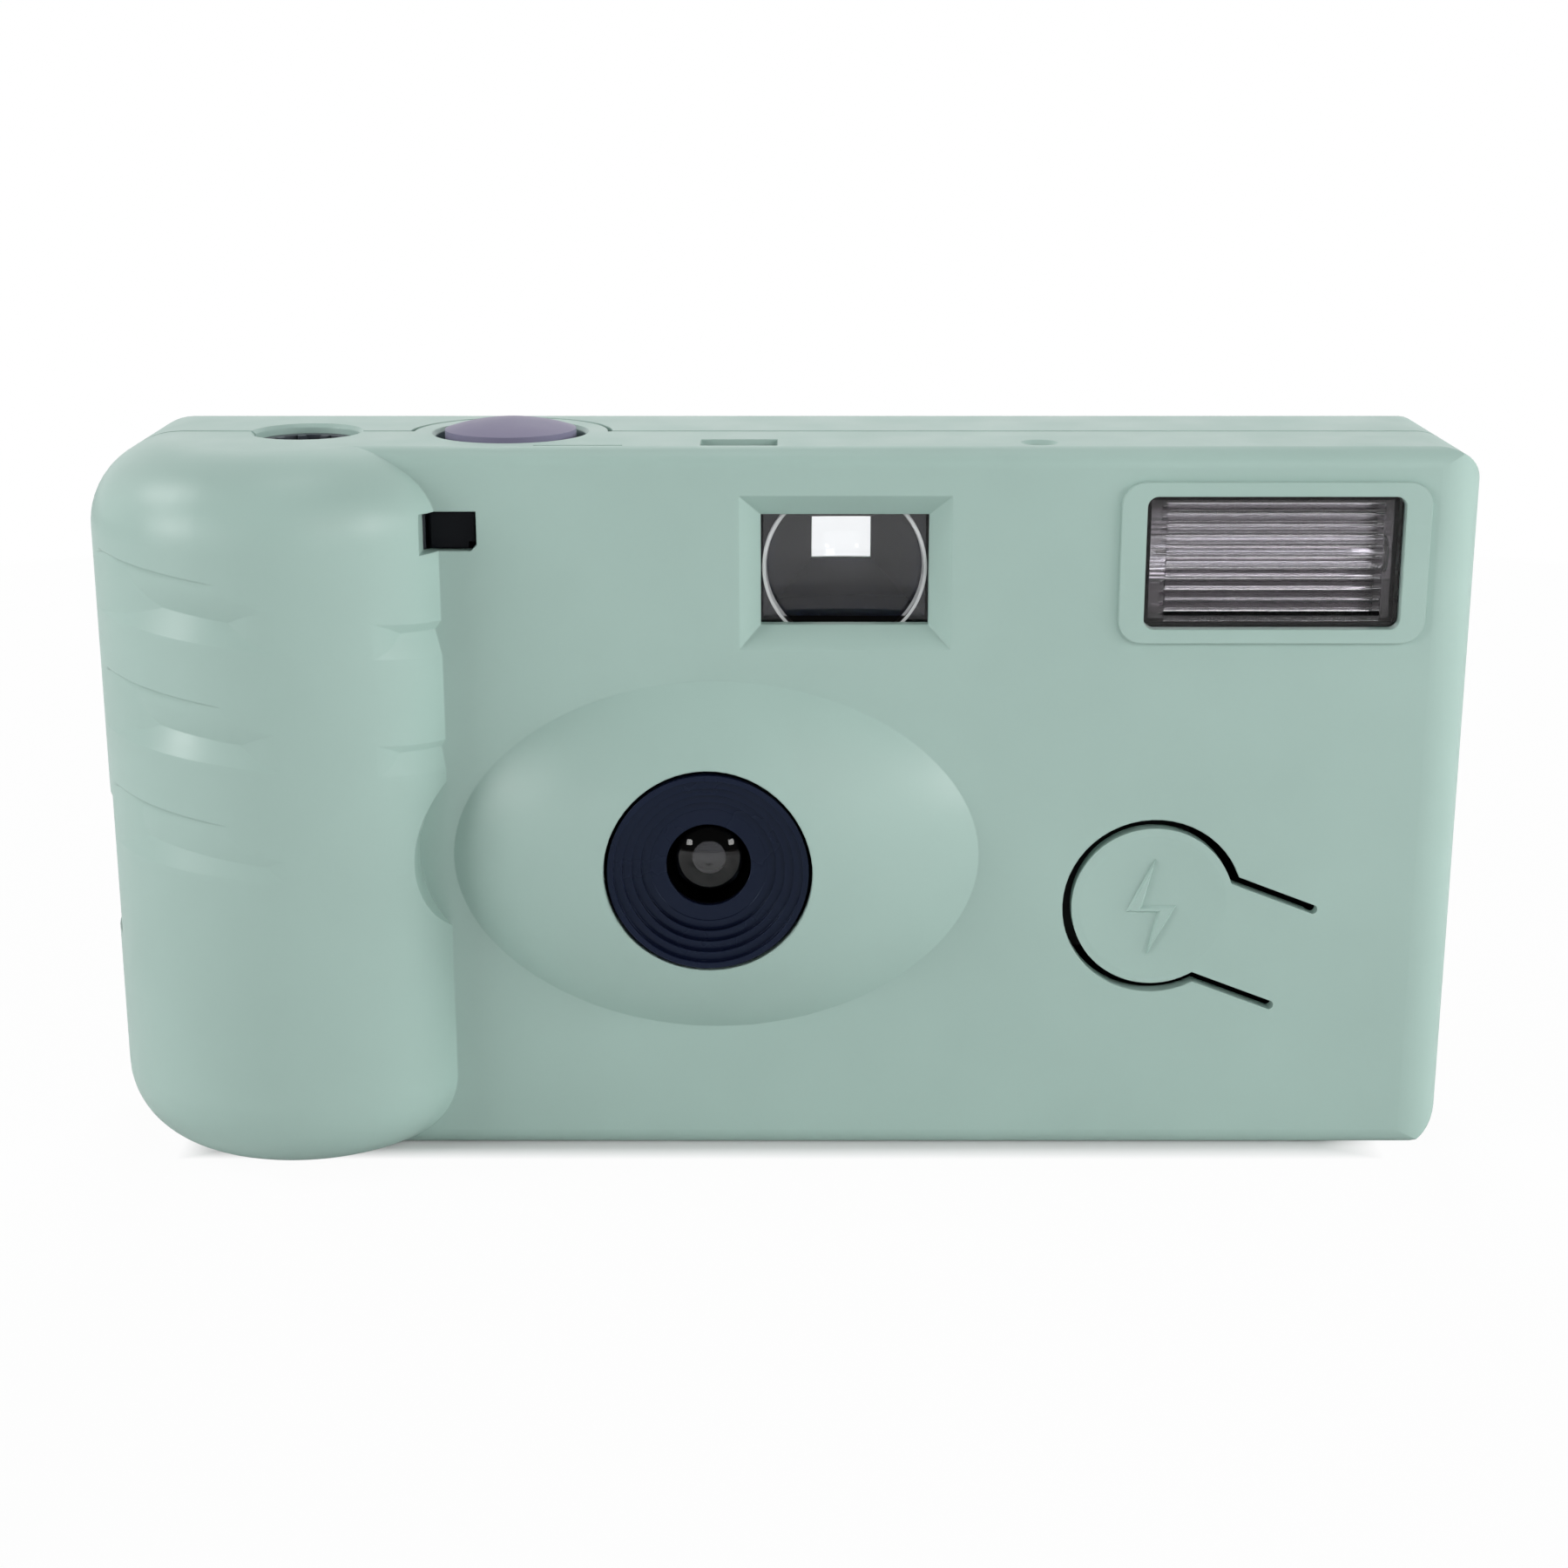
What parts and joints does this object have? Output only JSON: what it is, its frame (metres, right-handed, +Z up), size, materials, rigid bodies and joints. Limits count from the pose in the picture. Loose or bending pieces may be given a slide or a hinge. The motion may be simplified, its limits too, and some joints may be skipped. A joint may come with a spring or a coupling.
{
  "type": "disposable film camera",
  "caption": "Flat plastic film camera with a ringed hand grip, lens in an oval swelling, direct viewfinder, built-in flash with a push tongue, and thumb wheel film advance.",
  "frame": {"origin": "middle of the base, under the middle of the overall box", "axes": "+X from the grip to the flash, +Y from the front to the back, +Z up"},
  "size_m": [0.117, 0.0324, 0.0632],
  "materials": {
    "sage_plastic": "fine satin moulding",
    "chassis_black": "matt black moulding",
    "bezel_black": "stepped, half gloss",
    "clear_plastic": "clear moulding",
    "lilac_plastic": "satin dome",
    "grey_plastic": "dark grey moulding",
    "white_plastic": "white moulding",
    "bright_metal": "plated",
    "blade_metal": "blackened",
    "spring_brass": "spring strip",
    "reflector_metal": "bright formed sheet",
    "tin_plate": "printed tin",
    "film_base": "coated film",
    "board_resin": "resin paper board",
    "sleeve_plastic": "shrunk sleeve",
    "copper_wire": "lacquered winding",
    "lamp_glass": "amber glass"
  },
  "bodies": {
    "housing": {"front_cover": "sage_plastic", "rear_cover": "sage_plastic", "film_chassis": "chassis_black", "lens_bezel": "bezel_black", "taking_lens": "clear_plastic", "lens_holder": "chassis_black", "shutter_spring": "bright_metal", "lever_spring": "bright_metal", "viewfinder_front_lens": "clear_plastic", "viewfinder_tunnel": "chassis_black", "viewfinder_eyepiece": "clear_plastic", "button_spring": "bright_metal", "cartridge_shell": "tin_plate", "film_strip": "film_base", "counter_window": "clear_plastic", "flash_lens": "clear_plastic", "flash_reflector": "reflector_metal", "flash_tube": "clear_plastic", "flash_board": "board_resin", "flash_capacitor": "sleeve_plastic", "flash_transformer": "copper_wire", "trigger_coil": "copper_wire", "ready_lamp": "lamp_glass", "flash_switch_blade": "spring_brass", "sync_contact": "spring_brass", "battery": "bright_metal", "battery_contact_plus": "bright_metal", "battery_contact_minus": "bright_metal"},
    "release": {"shutter_button": "lilac_plastic"},
    "flash_tongue": {"flash_button": "sage_plastic"},
    "winder": {"advance_wheel": "grey_plastic", "cartridge_spool": "grey_plastic"},
    "film_counter_drive": {"sprocket": "white_plastic"},
    "feed": {"feed_spool": "grey_plastic", "film_roll": "film_base"},
    "counter": {"counter_dial": "white_plastic"},
    "blade": {"shutter_blade": "blade_metal"},
    "striker": {"shutter_lever": "bright_metal"}
  },
  "joints": [
    {"name": "shutter_press", "type": "slide", "parent": "housing", "child": "release", "axis": [0, 0, -1], "range_m": [0, 0.001], "stiffness_N_per_m": 2000, "deforming": ["button_spring"]},
    {"name": "flash_press", "type": "hinge", "parent": "housing", "child": "flash_tongue", "pos_m": [0.04424, -0.00635, 0.01774], "axis": [-0.3584, 0, -0.9336], "range_deg": [0, 4], "stiffness_Nm_per_rad": 0.3},
    {"name": "film_advance", "type": "hinge", "parent": "housing", "child": "winder", "pos_m": [-0.0406, 0.00215, 0.0547], "axis": [0, 0, 1], "continuous": true},
    {"name": "sprocket_turn", "type": "hinge", "parent": "housing", "child": "film_counter_drive", "pos_m": [-0.0162, 0.0069, 0.0411], "axis": [0, 0, 1], "continuous": true},
    {"name": "feed_turn", "type": "hinge", "parent": "housing", "child": "feed", "pos_m": [0.0466, 0.0051, 0.0269], "axis": [0, 0, 1], "continuous": true},
    {"name": "counter_turn", "type": "hinge", "parent": "housing", "child": "counter", "pos_m": [-0.0055, 0.003, 0.0593], "axis": [0, 0, 1], "continuous": true},
    {"name": "blade_swing", "type": "hinge", "parent": "housing", "child": "blade", "pos_m": [0.0019, -0.0057, 0.0339], "axis": [0, 1, 0], "range_deg": [0, 30], "stiffness_Nm_per_rad": 0.002, "deforming": ["shutter_spring"]},
    {"name": "striker_swing", "type": "hinge", "parent": "housing", "child": "striker", "pos_m": [-0.0067, -0.0005, 0.0467], "axis": [0, 0, 1], "range_deg": [0, 24], "stiffness_Nm_per_rad": 0.01}
  ],
  "couplings": [
    {"joint": "sprocket_turn", "follows": "film_advance", "ratio": 1},
    {"joint": "feed_turn", "follows": "film_advance", "ratio": 0.72},
    {"joint": "counter_turn", "follows": "film_advance", "ratio": -0.027778}
  ]
}
